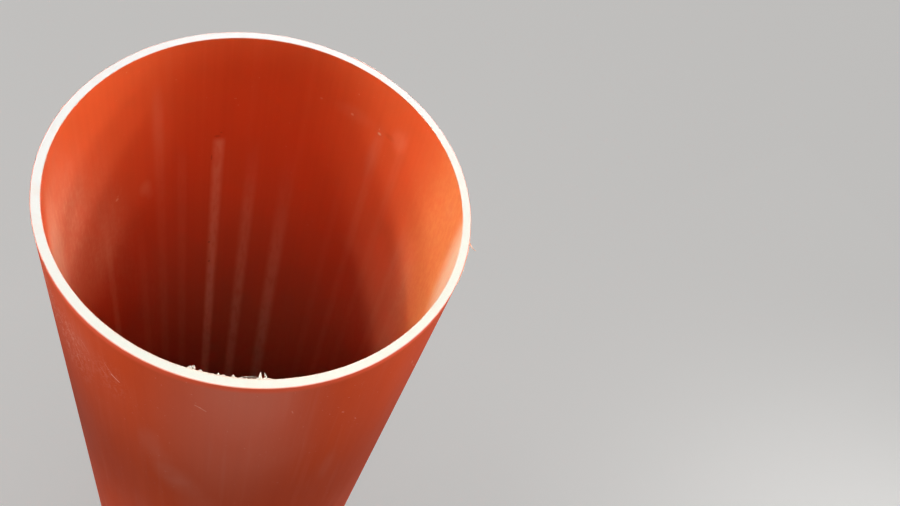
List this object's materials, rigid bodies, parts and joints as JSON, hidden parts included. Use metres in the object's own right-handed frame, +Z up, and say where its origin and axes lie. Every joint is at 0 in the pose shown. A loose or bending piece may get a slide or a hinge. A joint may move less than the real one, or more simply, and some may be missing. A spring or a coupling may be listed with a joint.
{
  "type": "pvc pipe",
  "caption": "Straight plain-ended plastic drain pipe with a thin wall and an open round bore, sawn square at both ends.",
  "frame": {"origin": "the centre of the lower sawn end, on the floor that the pipe stands on", "axes": "+Z up along the bore, with the pictured open end at the top; X and Y across the pipe"},
  "size_m": [0.1599, 0.16, 1],
  "materials": {
    "orange_pvc": "orange-red extruded pvc with a soft satin gloss, faint marks along its length and pale sawn ends"
  },
  "bodies": {
    "root": {"pipe": "orange_pvc"}
  },
  "joints": []
}
